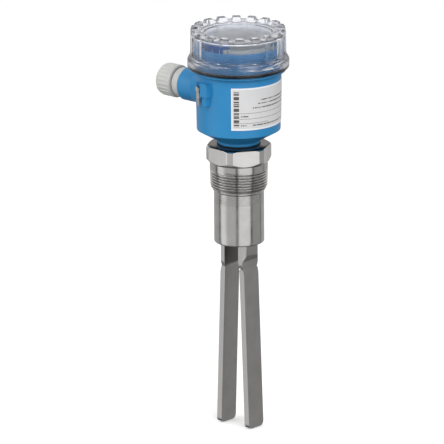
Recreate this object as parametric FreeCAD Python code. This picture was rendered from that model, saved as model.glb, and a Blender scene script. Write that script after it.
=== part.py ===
import FreeCAD, Part
import math
import os
from FreeCAD import Vector

# Tuning fork level switch for bulk solids, in millimetres.
# The origin is on the axis at the underside of the hexagon, where the thread begins.
# The fork points down, its two tines lie at +X and -X, and the cable entry points to -X.

# Process connection: hexagon, thread, run-out and sleeve, turned from one bar
across_flats = 50.0
corner_diameter = 55.0
hex_height = 15.5
hex_top_diameter = 48.4
hex_top_angle = 30.0
hex_bottom_angle = 45.0
hex_corner_angle = -65.0
thread_diameter = 48.4
thread_length = 20.6
run_out_length = 4.9
sleeve_diameter = 41.8
sleeve_length = 43.7
sleeve_edge = 1.8
turned_ring_count = 5
turned_ring_pitch = 1.6
turned_ring_depth = 0.35
turned_ring_width = 0.7
lead_bore_diameter = 18.0
stack_bore_diameter = 31.0
stack_bore_top = 26.0

# Spigot on top of the hexagon, on which the housing turns
spigot_diameter = 26.0
spigot_length = 17.5
neck_ring_groove_depth = 2.0
neck_ring_groove_width = 2.3
neck_ring_height = 6.5
neck_ring_section = 1.9
retaining_ring_thickness = 1.2
retaining_ring_diameter = 32.0
retaining_ring_opening = 5.0
retaining_ring_angle = 60.0
retaining_groove_depth = 1.2

# Fork
insertion_length = 228.5
root_plate_thickness = 4.0
root_plate_diameter = 36.0
boss_diameter = 30.8
stub_gap = 14.5
stub_flats = 28.4
stub_width = 20.6
stub_length = 8.9
stub_taper = 6.3
web_length = 6.1
web_thickness = 2.8
foot_chamfer = 1.4
foot_narrowing = 4.2
tine_gap = 15.6
tine_thickness = 5.0
tine_width = 18.4
tine_lean = 2.1
tine_shoulder = 5.0
tine_side_chamfer = 1.0
tip_corner_radius = 4.0

# Drive stack on the inside of the fork's membrane
stack_diameter = 22.0
stack_hole_diameter = 8.6
insulator_thickness = 3.0
piezo_count = 4
piezo_thickness = 2.6
electrode_thickness = 0.4
electrode_tab = 2.5
electrode_tab_width = 3.0
pressure_washer_thickness = 3.0
pressure_washer_edge = 1.0
clamp_nut_flats = 13.0
clamp_nut_height = 6.5
bolt_diameter = 8.0
bolt_seat_depth = 1.6
bolt_overlength = 1.5
bolt_slot_width = 1.4
bolt_slot_depth = 1.0

# Lead tube, potting and plug above the stack
lead_tube_diameter = 7.0
lead_tube_wall = 0.9
potting_length = 14.0
potting_drop = 3.0
lead_wire_diameter = 1.3
lead_wire_spacing = 2.2
drive_plug_diameter = 12.0
drive_plug_height = 7.0
drive_plug_floor = 2.0

# Housing
neck_gap = 0.3
neck_seal_thickness = 0.6
neck_seal_diameter = 36.4
neck_diameter = 35.3
neck_height = 2.4
cone_height = 9.8
body_top_diameter = 71.4
body_taper = 0.8
body_height = 49.0
flare_height = 1.6
collar_overhang = 3.9
collar_rim_height = 1.8
rim_inset = 0.3
rim_height = 19.3
rim_wall = 2.4
floor_thickness = 12.6
floor_corner = 3.0

# Thread between the housing's rim and the cover
cover_pitch = 3.0
ridge_base = 1.5
ridge_crest = 0.6
rim_ridge_height = 1.5
rim_ridge_start = 4.2
rim_ridge_turns = 4.0
cover_ridge_height = 1.7
cover_ridge_turns = 2.5
thread_room = 2.3

# Cable port and gland
entry_rise = 28.4
port_diameter = 28.0
port_root_diameter = 30.5
port_root_inset = 1.0
port_draft_length = 7.0
port_length = 20.7
port_bore_diameter = 20.0
port_edge = 0.8
gland_thread_length = 13.0
gland_seal_thickness = 0.9
gland_seal_diameter = 24.0
gland_collar_diameter = 24.4
gland_collar_length = 6.6
gland_spigot_diameter = 21.2
gland_spigot_length = 10.5
gland_bore_diameter = 13.0
gland_edge = 0.8
grommet_pocket_diameter = 17.2
grommet_length = 10.0
cable_diameter = 9.0
claw_ring_thickness = 3.6
claw_ring_diameter = 19.4
claw_ring_bore = 10.4
claw_root = 1.5
claw_slot_count = 8
claw_slot_width = 0.9
gland_nut_diameter = 27.6
gland_nut_end_diameter = 22.0
gland_nut_nose = 4.6
gland_nut_nose_bend = 0.3
gland_nut_nose_share = 0.4
gland_nut_wall = 3.0
gland_nut_mouth = 10.6
gland_nut_gap = 0.8
gland_rib_count = 24
gland_rib_depth = 0.5
gland_rib_share = 0.45
gland_rib_start = 2.0
gland_rib_run_out = 0.6

# Tag lug and its pin, on the front left of the housing
lug_angle = -96.0
lug_width = 8.0
lug_foot_width = 5.0
lug_depth = 4.5
lug_foot_inset = 1.0
lug_root = 2.0
lug_drop = 4.0
lug_height = 11.6
lug_foot_height = 8.0
pin_angle = -110.5
pin_diameter = 3.8
pin_tip_diameter = 1.6
pin_head_diameter = 5.4
pin_head_height = 3.4
pin_drop = 8.4
pin_length = 17.0
pin_shank_drop = 4.0
pin_head_edge = 1.0
pin_hole_depth = 11.0
pin_seat_depth = 2.2
pin_seat_width = 8.0
pin_seat_rise = 3.0

# Nameplate
plate_start_angle = -59.0
plate_sweep = 109.0
plate_rise = 7.1
plate_drop = 5.6
plate_thickness = 0.35
film_gap = 0.05

# Cover
lip_overhang = 2.7
lip_drop = 0.8
lip_height = 6.5
lip_slope = 4.3
lip_edge = 1.0
cover_draft = 0.4
cover_wall = 2.3
rim_top_above_collar = 31.4
cover_floor_thickness = 3.0
window_inset = 13.5
window_depth = 2.1
window_slope = 4.5
cover_relief_height = 2.3
cover_relief_inset = 8.3
tooth_count = 18
tooth_angle = 11.0
tooth_height = 2.4
tooth_width = 8.0
tooth_edge = 0.8
tooth_phase = 13.0
grip_groove_depth = 0.8
grip_groove_bottom = 1.0
cover_seal_thickness = 2.9
cover_seal_clearance = 0.4
skirt_clearance = 0.6

# Electronics insert
pot_to_post = 0.7
pot_wall = 1.6
pot_height = 47.0
pot_ledge_width = 1.6
pot_ledge_height = 2.0
plate_overhang = 2.0
plate_disc_thickness = 4.6
insert_rise = 1.3
foil_thickness = 0.6
foil_margin = 0.6
foil_window_margin = 0.5
notch_margin = 1.0
ear_inset = 4.0
ear_diameter = 7.0
ear_thickness = 3.0
ear_angles = (30.0, -150.0)
screw_post_diameter = 7.6
insert_screw_diameter = 4.0
insert_screw_head = 6.4
insert_screw_head_height = 2.4
insert_screw_length = 14.0
driver_slot_width = 1.0
driver_slot_depth = 0.8
screw_relief = 1.0

# Terminals on the insert
terminal_angle = -98.0
terminal_inset = 4.1
terminal_width = 19.0
terminal_depth = 9.0
terminal_height = 12.0
terminal_sink = 9.4
terminal_count = 3
terminal_pitch = 6.0
terminal_screw_diameter = 3.0
terminal_screw_head = 4.0
terminal_screw_head_height = 1.0
terminal_slot_depth = 0.5
wire_hole_diameter = 3.4
clamp_size = 4.0
clamp_rise = 1.0
clamp_hole_diameter = 2.6

# Setting switches and lamps on the insert
switch_centre = (9.0, 6.0)
switch_size = (9.0, 7.0)
switch_height = 3.6
switch_sink = 2.4
slider_count = 2
slider_pitch = 4.2
slider_width = 1.6
slider_length = 1.6
slider_height = 2.2
slider_travel = 2.0
slider_slot_depth = 1.2
lamp_count = 3
lamp_diameter = 3.0
lamp_height = 2.0
lamp_sink = 1.5
lamp_edge = 0.6
lamp_pitch = 5.5
lamp_centre = (-4.0, 14.5)

# Board inside the insert
board_thickness = 1.6
board_drop = 5.0
relay_size = (14.0, 9.0, 12.0)
relay_centre = (5.0, -5.0)
capacitor_diameter = 8.0
capacitor_height = 15.0
capacitor_edge = 0.5
capacitor_centre = (-9.0, 6.0)

# Earth terminal on the housing's floor
earth_angle = 90.0
earth_inset = 9.5
earth_post_diameter = 9.0
earth_post_height = 5.0
earth_screw_diameter = 4.0
earth_screw_head = 7.0
earth_screw_head_height = 2.6
earth_screw_length = 8.0
earth_washer_thickness = 1.0
earth_washer_diameter = 8.4

# Clearances
fit_clearance = 0.05
turning_clearance = 0.08
soft_clearance = 0.3
slide_clearance = 0.2

# Cutting tools reach this far past the surface that they open
past = 1.0

# Heights and diameters that follow from the sizes above
run_out_bottom = -(thread_length + run_out_length)
sleeve_bottom = run_out_bottom - sleeve_length
web_top = sleeve_bottom - stub_length - stub_taper
blade_top = web_top - web_length
groove_depth = (tine_thickness - web_thickness) / 2
membrane_top = sleeve_bottom + root_plate_thickness
stack_height = (2 * insulator_thickness + piezo_count * piezo_thickness
                + (piezo_count - 1) * electrode_thickness)
washer_bottom = membrane_top + stack_height
nut_bottom = washer_bottom + pressure_washer_thickness
nut_top = nut_bottom + clamp_nut_height
bolt_top = nut_top + bolt_overlength
spigot_top = hex_height + spigot_length
housing_bottom = hex_height + neck_seal_thickness + neck_gap
cone_bottom = housing_bottom + neck_height
body_bottom = cone_bottom + cone_height
body_top = body_bottom + body_height
body_bottom_diameter = body_top_diameter - 2 * body_taper
collar_rim_bottom = body_top + flare_height
collar_rim_top = collar_rim_bottom + collar_rim_height
collar_rim_diameter = body_top_diameter + 2 * collar_overhang
rim_diameter = body_top_diameter - 2 * rim_inset
rim_bore_diameter = rim_diameter - 2 * rim_wall
port_reach = body_top_diameter / 2 + port_length
entry_height = body_bottom + entry_rise
lug_top = body_top - lug_drop
lug_step = lug_top - lug_height
lug_bottom = lug_step - lug_foot_height
pin_top = body_top - pin_drop
pin_bottom = pin_top - pin_length
plate_bottom = body_bottom + plate_rise
plate_top = body_top - plate_drop
rim_top = collar_rim_top + rim_height
floor_top = housing_bottom + floor_thickness
cover_top = collar_rim_top + rim_top_above_collar
seal_bottom = collar_rim_top + soft_clearance
seal_top = seal_bottom + cover_seal_thickness
cover_step = seal_top + soft_clearance
lip_bottom = collar_rim_top + lip_drop
lip_top = lip_bottom + lip_height
lip_diameter = collar_rim_diameter + 2 * lip_overhang
skirt_diameter = collar_rim_diameter + 2 * skirt_clearance
cover_bore = rim_diameter + 2 * thread_room
cover_diameter = cover_bore + 2 * cover_wall
window_diameter = cover_diameter - 2 * window_inset
cover_relief_diameter = cover_bore - 2 * cover_relief_inset
tooth_inner_diameter = cover_diameter - 2 * tooth_width
ear_radius = rim_bore_diameter / 2 - ear_inset
earth_radius = rim_bore_diameter / 2 - earth_inset
pot_diameter = 2 * (ear_radius - screw_post_diameter / 2 - pot_to_post)
plate_disc_diameter = pot_diameter + 2 * plate_overhang
terminal_radius = plate_disc_diameter / 2 - terminal_inset
insert_top = rim_top + insert_rise
plate_disc_bottom = insert_top - plate_disc_thickness
pot_bottom = plate_disc_bottom - pot_height
ear_top = plate_disc_bottom - screw_relief
ear_bottom = ear_top - ear_thickness
board_top = plate_disc_bottom - board_drop
board_bottom = board_top - board_thickness


def revolved(points, angle=360.0):
    """Solid of revolution about Z from (radius, height) points, from +X onwards."""
    corners = [Vector(r, 0, z) for r, z in points]
    face = Part.Face(Part.makePolygon(corners + [corners[0]]))
    return face.revolve(Vector(0, 0, 0), Vector(0, 0, 1), angle)


def disc(diameter, bottom, height, x=0.0, y=0.0):
    return Part.makeCylinder(diameter / 2, height, Vector(x, y, bottom))


def ring(outer, inner, bottom, height):
    return disc(outer, bottom, height).cut(disc(inner, bottom - past, height + 2 * past))


def block(size_x, size_y, bottom, height, x=0.0, y=0.0):
    """Upright block centred on x, y."""
    return Part.makeBox(size_x, size_y, height, Vector(x - size_x / 2, y - size_y / 2, bottom))


def turned(shape, angle):
    """Copy of a shape, turned about the main axis."""
    copy = shape.copy()
    copy.rotate(Vector(0, 0, 0), Vector(0, 0, 1), angle)
    return copy


def hexagon(flats, bottom, height):
    radius = flats / math.sqrt(3)
    corners = []
    for k in range(7):
        a = math.radians(60 * k)
        corners.append(Vector(radius * math.cos(a), radius * math.sin(a), bottom))
    return Part.Face(Part.makePolygon(corners)).extrude(Vector(0, 0, height))


def towards_entry(shape):
    """Turns a piece modelled along +Z so that it points out of the cable port."""
    copy = shape.copy()
    copy.rotate(Vector(0, 0, 0), Vector(0, 1, 0), -90)
    copy.translate(Vector(0, 0, entry_height))
    return copy


def body_radius(height):
    """The moulded body widens a little from its cone to its collar."""
    share = (height - body_bottom) / body_height
    return (body_bottom_diameter + share * (body_top_diameter - body_bottom_diameter)) / 2


def thread_ridge(root_radius, crest_radius, start_height, turns):
    """Helical ridge with a sloping flank on each side, wider at its root than at its crest."""
    rise = cover_pitch * turns
    corners = [(root_radius, -ridge_base / 2), (crest_radius, -ridge_crest / 2),
               (crest_radius, ridge_crest / 2), (root_radius, ridge_base / 2)]
    lines = []
    for radius, offset in corners:
        line = Part.makeHelix(cover_pitch, rise, radius)
        line.translate(Vector(0, 0, start_height + offset))
        lines.append(line)
    faces = []
    for k in range(4):
        faces += Part.makeRuledSurface(lines[k], lines[(k + 1) % 4]).Faces
    for part_turn, height in ((0.0, start_height), (turns, start_height + rise)):
        a = 2 * math.pi * part_turn
        ends = [Vector(r * math.cos(a), r * math.sin(a), height + dz) for r, dz in corners]
        faces.append(Part.Face(Part.makePolygon(ends + [ends[0]])))
    shell = Part.makeShell(faces)
    shell.sewShape()
    solid = Part.Solid(shell)
    if solid.Volume < 0:
        solid.reverse()
    return solid


# Process adapter: hexagon with the mating thread and the long sleeve below it

def hexagon_body():
    """Hexagon with its corners turned to a bar and chamfered above and below."""
    bar = corner_diameter / 2
    top = hex_top_diameter / 2
    neck = thread_diameter / 2
    top_drop = (bar - top) * math.tan(math.radians(hex_top_angle))
    bottom_rise = (bar - neck) / math.tan(math.radians(hex_bottom_angle))
    turning = revolved([(0, 0), (neck, 0), (bar, bottom_rise), (bar, hex_height - top_drop),
                        (top, hex_height), (0, hex_height)])
    return turned(hexagon(across_flats, 0, hex_height), hex_corner_angle).common(turning)


def shank_profile():
    """Outline of everything that is turned below the hexagon, from the top down."""
    sleeve = sleeve_diameter / 2
    points = [(0, 0), (thread_diameter / 2, 0), (thread_diameter / 2, -thread_length),
              (sleeve, run_out_bottom)]
    for k in range(turned_ring_count):
        z = run_out_bottom - (k + 0.5) * turned_ring_pitch
        points += [(sleeve, z), (sleeve - turned_ring_depth, z),
                   (sleeve - turned_ring_depth, z - turned_ring_width),
                   (sleeve, z - turned_ring_width)]
    points += [(sleeve, sleeve_bottom + sleeve_edge), (sleeve - sleeve_edge, sleeve_bottom),
               (0, sleeve_bottom)]
    return points


def process_adapter():
    spigot = spigot_diameter / 2
    groove = spigot - neck_ring_groove_depth
    groove_bottom = hex_height + neck_ring_height
    groove_top = groove_bottom + neck_ring_groove_width
    clip_bottom = floor_top + soft_clearance
    clip_top = clip_bottom + retaining_ring_thickness + 2 * fit_clearance
    clip_groove = spigot - retaining_groove_depth
    top = revolved([(0, hex_height - past), (spigot, hex_height - past), (spigot, groove_bottom),
                    (groove, groove_bottom), (groove, groove_top), (spigot, groove_top),
                    (spigot, clip_bottom), (clip_groove, clip_bottom), (clip_groove, clip_top),
                    (spigot, clip_top), (spigot, spigot_top), (0, spigot_top)])
    body = hexagon_body().fuse([revolved(shank_profile()), top])
    bores = [disc(lead_bore_diameter, -stack_bore_top - past,
                  spigot_top + stack_bore_top + 2 * past),
             disc(stack_bore_diameter, sleeve_bottom - past,
                  past - stack_bore_top - sleeve_bottom),
             disc(root_plate_diameter, sleeve_bottom - past, root_plate_thickness + past)]
    for bore in bores:
        body = body.cut(bore)
    return body.removeSplitter()


# Fork: root plate with two stubs, and the tines welded to them

def side_profile(points, width):
    """Extrudes an outline in the X-Z plane to a width centred on Y."""
    corners = [Vector(x, -width / 2, z) for x, z in points]
    face = Part.Face(Part.makePolygon(corners + [corners[0]]))
    return face.extrude(Vector(0, width, 0))


def stub():
    """One stub of the root: a slice of the round boss that narrows to a web at its foot."""
    inner = stub_gap / 2
    outer = stub_flats / 2
    web_inner = tine_gap / 2 + groove_depth
    web_outer = web_inner + web_thickness
    profile = [(inner, sleeve_bottom), (inner, blade_top + web_inner - inner),
               (web_inner, blade_top), (web_outer, blade_top), (web_outer, web_top),
               (outer, sleeve_bottom - stub_length), (outer, sleeve_bottom)]
    boss = disc(boss_diameter, blade_top - past, sleeve_bottom - blade_top + past)
    half = stub_width / 2
    foot = half - foot_chamfer
    front = Part.Face(Part.makePolygon([
        Vector(0, half, sleeve_bottom), Vector(0, half, blade_top + foot_narrowing),
        Vector(0, foot, blade_top), Vector(0, -foot, blade_top),
        Vector(0, -half, blade_top + foot_narrowing), Vector(0, -half, sleeve_bottom),
        Vector(0, half, sleeve_bottom)])).extrude(Vector(outer, 0, 0))
    return side_profile(profile, stub_width).common(boss).common(front)


def fork_root():
    plate = disc(root_plate_diameter - 2 * fit_clearance, sleeve_bottom, root_plate_thickness)
    seat = disc(bolt_diameter + 2 * fit_clearance, membrane_top - bolt_seat_depth,
                bolt_seat_depth + past)
    one = stub()
    return plate.fuse([one, turned(one, 180)]).cut(seat).removeSplitter()


def tine_outline(length):
    """Flat face of a tine, with its two lower corners rounded."""
    half = tine_width / 2
    r = tip_corner_radius
    k = r * (1 - math.sqrt(0.5))
    chamfer = tine_side_chamfer
    top = [Vector(0, -half + chamfer, past), Vector(0, half - chamfer, past),
           Vector(0, half - chamfer, 0), Vector(0, half, -chamfer)]
    low_right = [Vector(0, half, -length + r), Vector(0, half - k, -length + k),
                 Vector(0, half - r, -length)]
    low_left = [Vector(0, r - half, -length), Vector(0, k - half, -length + k),
                Vector(0, -half, -length + r)]
    edges = [Part.makePolygon(top + [low_right[0]]), Part.Arc(*low_right).toShape(),
             Part.makeLine(low_right[2], low_left[0]), Part.Arc(*low_left).toShape(),
             Part.makePolygon([low_left[2], Vector(0, -half, -chamfer),
                               Vector(0, chamfer - half, 0), top[0]])]
    return Part.Face(Part.Wire(Part.__sortEdges__([e for s in edges for e in s.Edges])))


def tine():
    """One tine, leaning outwards from the foot of its stub."""
    length = (insertion_length + blade_top) / math.cos(math.radians(tine_lean))
    flat = tine_outline(length).extrude(Vector(tine_thickness, 0, 0))
    shoulder = groove_depth + web_thickness
    side = side_profile([(groove_depth, past), (shoulder, past), (shoulder, 0),
                         (tine_thickness, -tine_shoulder), (tine_thickness, -length - past),
                         (0, -length - past), (0, -groove_depth), (groove_depth, 0)],
                        tine_width + 2 * past)
    blade = flat.common(side)
    blade.translate(Vector(tine_gap / 2, 0, blade_top))
    blade.rotate(Vector(tine_gap / 2, 0, blade_top), Vector(0, 1, 0), -tine_lean)
    above = block(4 * tine_gap, 2 * tine_width, blade_top, web_length)
    return blade.cut(above)


# Drive stack: ceramic discs clamped against the membrane

def stack_ring(bottom, thickness):
    return ring(stack_diameter, stack_hole_diameter, bottom, thickness)


def piezo_disc(k):
    step = piezo_thickness + electrode_thickness
    return stack_ring(membrane_top + insulator_thickness + k * step, piezo_thickness)


def electrode(k):
    """Contact ring between two discs, with a tab to solder a lead to."""
    step = piezo_thickness + electrode_thickness
    bottom = membrane_top + insulator_thickness + k * step + piezo_thickness
    tab = block(electrode_tab + past, electrode_tab_width, bottom, electrode_thickness,
                (stack_diameter + electrode_tab - past) / 2, 0)
    return stack_ring(bottom, electrode_thickness).fuse(turned(tab, 120 * k))


def pressure_washer():
    washer = stack_ring(washer_bottom, pressure_washer_thickness)
    rim = stack_diameter / 2
    edge = revolved([(rim - pressure_washer_edge, nut_bottom), (rim + past, nut_bottom),
                     (rim + past, nut_bottom - pressure_washer_edge - past)])
    return washer.cut(edge)


def clamp_nut():
    body = hexagon(clamp_nut_flats, nut_bottom, clamp_nut_height)
    return body.cut(disc(bolt_diameter + 2 * fit_clearance, nut_bottom - past,
                         clamp_nut_height + 2 * past))


def clamp_bolt():
    bottom = membrane_top - bolt_seat_depth
    bolt = disc(bolt_diameter, bottom, bolt_top - bottom)
    slot = block(bolt_diameter + 2 * past, bolt_slot_width, bolt_top - bolt_slot_depth,
                 bolt_slot_depth + past)
    return bolt.cut(slot)


def lead_tube():
    bottom = bolt_top + soft_clearance
    return ring(lead_tube_diameter, lead_tube_diameter - 2 * lead_tube_wall, bottom,
                spigot_top - bottom)


def potting():
    top = spigot_top - potting_drop
    return ring(lead_bore_diameter - 2 * fit_clearance, lead_tube_diameter + 2 * fit_clearance,
                top - potting_length, potting_length)


def lead_wires():
    """Two insulated leads inside the tube."""
    bottom = bolt_top + 2 * soft_clearance
    height = spigot_top - bottom
    wires = []
    for side in (-1, 1):
        wires.append(disc(lead_wire_diameter, bottom, height, side * lead_wire_spacing / 2, 0))
    return Part.makeCompound(wires)


def drive_plug():
    """Round plug on the lead tube, with two pins' sockets in its top."""
    plug = disc(drive_plug_diameter, spigot_top, drive_plug_height)
    for side in (-1, 1):
        plug = plug.cut(disc(lead_wire_diameter, spigot_top + drive_plug_floor, drive_plug_height,
                             side * 2 * lead_wire_spacing, 0))
    return plug


# What lies between the housing and the adapter

def neck_seal():
    return ring(neck_seal_diameter, spigot_diameter + 2 * turning_clearance, hex_height,
                neck_seal_thickness)


def neck_o_ring():
    centre = spigot_diameter / 2 - neck_ring_groove_depth + neck_ring_section / 2
    middle = hex_height + neck_ring_height + neck_ring_groove_width / 2
    return Part.makeTorus(centre + fit_clearance, neck_ring_section / 2 - fit_clearance,
                          Vector(0, 0, middle))


def retaining_ring():
    """Open spring ring in the spigot's upper groove, above the housing's floor."""
    inner = spigot_diameter - 2 * retaining_groove_depth + 2 * fit_clearance
    bottom = floor_top + soft_clearance + fit_clearance
    whole = ring(retaining_ring_diameter, inner, bottom, retaining_ring_thickness)
    gap = block(retaining_ring_diameter, retaining_ring_opening, bottom - past,
                retaining_ring_thickness + 2 * past, retaining_ring_diameter / 2, 0)
    return whole.cut(turned(gap, retaining_ring_angle))


# Housing: one moulding with its neck, bowl, cable port, lug and threaded rim

def housing_outline():
    flare = collar_rim_diameter / 2
    rim = rim_diameter / 2
    return [(0, housing_bottom), (neck_diameter / 2, housing_bottom),
            (neck_diameter / 2, cone_bottom), (body_bottom_diameter / 2, body_bottom),
            (body_top_diameter / 2, body_top), (flare, collar_rim_bottom),
            (flare, collar_rim_top), (rim, collar_rim_top), (rim, rim_top), (0, rim_top)]


def cable_port():
    root_end = body_top_diameter / 2 - port_root_inset
    return revolved([(0, 0), (port_root_diameter / 2, 0), (port_root_diameter / 2, root_end),
                     (port_diameter / 2, root_end + port_draft_length),
                     (port_diameter / 2, port_reach - port_edge),
                     (port_diameter / 2 - port_edge, port_reach), (0, port_reach)])


def tag_lug():
    """Stepped lug, wider above than at its foot, with the seat for the pin beside it."""
    inner = body_radius(lug_bottom) - lug_root
    reach = body_radius(lug_top) + lug_depth - inner
    upper = Part.makeBox(reach, lug_width, lug_top - lug_step, Vector(inner, -lug_width / 2, lug_step))
    foot = Part.makeBox(reach - lug_foot_inset, lug_foot_width, lug_foot_height,
                        Vector(inner, -lug_foot_width / 2, lug_bottom))
    lug = turned(upper.fuse(foot), lug_angle)
    seat_reach = body_radius(pin_top) + pin_seat_depth - inner
    seat_bottom = pin_bottom + pin_hole_depth - pin_shank_drop
    seat = Part.makeBox(seat_reach, pin_seat_width, pin_top + pin_seat_rise - seat_bottom,
                        Vector(inner, -pin_seat_width / 2, seat_bottom))
    return lug.fuse(turned(seat, pin_angle))


def screw_posts():
    """Two posts along the wall, each carrying one screw of the insert."""
    height = ear_bottom - floor_top + past
    posts = []
    for angle in ear_angles:
        post = disc(screw_post_diameter, floor_top - past, height, ear_radius, 0)
        posts.append(turned(post, angle))
    return posts


def pin_place(diameter, bottom, height):
    """Upright round, where the tag pin stands on the housing."""
    radius = body_radius(pin_top) + pin_seat_depth
    return turned(disc(diameter, bottom, height, radius, 0), pin_angle)


def housing():
    body = revolved(housing_outline())
    port = towards_entry(cable_port())
    bore = rim_bore_diameter / 2
    cavity = revolved([(0, floor_top), (bore - floor_corner, floor_top),
                       (bore, floor_top + floor_corner), (bore, rim_top + past), (0, rim_top + past)])
    earth_post = turned(disc(earth_post_diameter, floor_top - past, earth_post_height + past,
                             earth_radius, 0), earth_angle)
    shell = body.fuse([port, tag_lug()]).cut(cavity)
    shell = shell.fuse(screw_posts() + [earth_post])
    shell = shell.cut(towards_entry(disc(port_bore_diameter, 0, port_reach + past)))
    shell = shell.cut(disc(spigot_diameter + 2 * turning_clearance, housing_bottom - past,
                           floor_thickness + 2 * past))
    for angle in ear_angles:
        hole = disc(insert_screw_diameter + 2 * fit_clearance,
                    ear_top - insert_screw_length, insert_screw_length, ear_radius, 0)
        shell = shell.cut(turned(hole, angle))
    earth_hole = disc(earth_screw_diameter + 2 * fit_clearance,
                      floor_top + earth_post_height + earth_washer_thickness - earth_screw_length,
                      earth_screw_length, earth_radius, 0)
    shell = shell.cut(turned(earth_hole, earth_angle))
    shell = shell.cut(pin_place(pin_diameter + 2 * fit_clearance, pin_bottom, pin_length))
    shell = shell.cut(pin_place(pin_head_diameter + 2 * fit_clearance,
                                pin_top - pin_head_height, pin_head_height + pin_seat_rise + past))
    ridge = thread_ridge(rim_diameter / 2 - fit_clearance, rim_diameter / 2 + rim_ridge_height,
                         collar_rim_top + rim_ridge_start, rim_ridge_turns)
    return shell.fuse(ridge).removeSplitter()


def nameplate():
    """Thin film plate that follows the body's taper."""
    low = body_radius(plate_bottom) + film_gap
    high = body_radius(plate_top) + film_gap
    film = revolved([(low, plate_bottom), (low + plate_thickness, plate_bottom),
                     (high + plate_thickness, plate_top), (high, plate_top)], plate_sweep)
    return turned(film, plate_start_angle)


def tag_pin():
    """Steel pin with a domed head and a tapered tail, held in the seat beside the lug."""
    radius = body_radius(pin_top) + pin_seat_depth
    head = pin_head_diameter / 2
    shank = pin_diameter / 2
    tail_end = pin_bottom + pin_hole_depth - pin_shank_drop
    pin = revolved([(0, pin_bottom), (pin_tip_diameter / 2, pin_bottom), (shank, tail_end),
                    (shank, pin_top - pin_head_height), (head, pin_top - pin_head_height),
                    (head, pin_top - pin_head_edge), (head - pin_head_edge, pin_top),
                    (0, pin_top)])
    pin.translate(Vector(radius, 0, 0))
    return turned(pin, pin_angle)


# Cover and its seal

def cover_seal():
    """Flat ring inside the cover's skirt, wide enough to pass over the rim's thread."""
    outer = skirt_diameter - 2 * cover_seal_clearance
    inner = rim_diameter + 2 * rim_ridge_height + 2 * soft_clearance
    return ring(outer, inner, seal_bottom, cover_seal_thickness)


def cover_outline():
    """Outline of the clear cover, from the skirt's inner edge round the outside to the axis."""
    lip = lip_diameter / 2
    wall = cover_diameter / 2
    skirt = skirt_diameter / 2
    window = window_diameter / 2
    bore = cover_bore / 2
    relief = cover_relief_diameter / 2
    floor = cover_top - window_depth - cover_floor_thickness
    return [(skirt, lip_bottom), (lip - lip_edge, lip_bottom), (lip, lip_bottom + lip_edge),
            (lip, lip_top), (wall, lip_top + lip_slope), (wall - cover_draft, cover_top),
            (window + window_slope, cover_top), (window, cover_top - window_depth),
            (0, cover_top - window_depth), (0, floor), (relief, floor),
            (relief, floor + cover_relief_height), (bore, floor + cover_relief_height),
            (bore, cover_step), (skirt, cover_step)]


def cover_tooth():
    """One raised block of the castellated rim, with its outer top edge sloped."""
    outer = cover_diameter / 2 - cover_draft
    inner = tooth_inner_diameter / 2
    top = cover_top + tooth_height
    return turned(revolved([(inner, cover_top - past), (outer, cover_top - past),
                            (outer, top - tooth_edge), (outer - tooth_edge, top),
                            (inner + tooth_edge, top), (inner, top - tooth_edge)], tooth_angle),
                  -tooth_angle / 2)


def grip_groove():
    """Shallow upright groove in the wall, between two teeth."""
    angle = 360 / tooth_count - tooth_angle
    inner = cover_diameter / 2 - cover_draft - grip_groove_depth
    bottom = lip_top + lip_slope + grip_groove_bottom
    top = cover_top + past
    return turned(revolved([(inner, bottom), (cover_diameter, bottom), (cover_diameter, top),
                            (inner, top)], angle), -angle / 2)


def cover():
    body = revolved(cover_outline())
    pitch = 360 / tooth_count
    teeth = [turned(cover_tooth(), tooth_phase + k * pitch) for k in range(tooth_count)]
    grooves = [turned(grip_groove(), tooth_phase + (k + 0.5) * pitch) for k in range(tooth_count)]
    body = body.fuse(teeth).cut(Part.makeCompound(grooves))
    start = collar_rim_top + rim_ridge_start + cover_pitch / 2
    ridge = thread_ridge(cover_bore / 2 + fit_clearance, cover_bore / 2 - cover_ridge_height,
                         start, cover_ridge_turns)
    return body.fuse(ridge).removeSplitter()


# Cable gland, modelled along +Z from the main axis and then turned towards the entry

def gland_seal():
    return towards_entry(ring(gland_seal_diameter, port_bore_diameter + 2 * fit_clearance,
                              port_reach, gland_seal_thickness))


def gland_body():
    """Threaded gland body: its inner end fills the port, its outer end takes the nut."""
    collar_start = port_reach + gland_seal_thickness
    collar_end = collar_start + gland_collar_length
    spigot_end = collar_end + gland_spigot_length
    thread = port_bore_diameter / 2 - fit_clearance
    edge = gland_edge
    body = revolved([(0, port_reach - gland_thread_length), (thread, port_reach - gland_thread_length),
                     (thread, collar_start), (gland_collar_diameter / 2, collar_start),
                     (gland_collar_diameter / 2, collar_end - edge),
                     (gland_collar_diameter / 2 - edge, collar_end),
                     (gland_spigot_diameter / 2, collar_end), (gland_spigot_diameter / 2, spigot_end),
                     (0, spigot_end)])
    body = body.cut(disc(gland_bore_diameter, 0, spigot_end + past))
    pocket = disc(grommet_pocket_diameter, spigot_end - grommet_length, grommet_length + past)
    return towards_entry(body.cut(pocket))


def gland_spigot_end():
    return port_reach + gland_seal_thickness + gland_collar_length + gland_spigot_length


def gland_grommet():
    """Rubber sleeve that grips the cable."""
    return towards_entry(ring(grommet_pocket_diameter - 2 * fit_clearance, cable_diameter,
                              gland_spigot_end() - grommet_length, grommet_length))


def gland_claw_ring():
    """Slotted ring that the nut presses against the grommet."""
    start = gland_spigot_end() + soft_clearance
    claws = ring(claw_ring_diameter, claw_ring_bore, start, claw_ring_thickness)
    for k in range(claw_slot_count):
        slot = block(claw_ring_diameter, claw_slot_width, start - past, claw_ring_thickness,
                     claw_ring_diameter / 2 + claw_ring_bore / 2 + claw_root, 0)
        claws = claws.cut(turned(slot, k * 360 / claw_slot_count))
    return towards_entry(claws)


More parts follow.
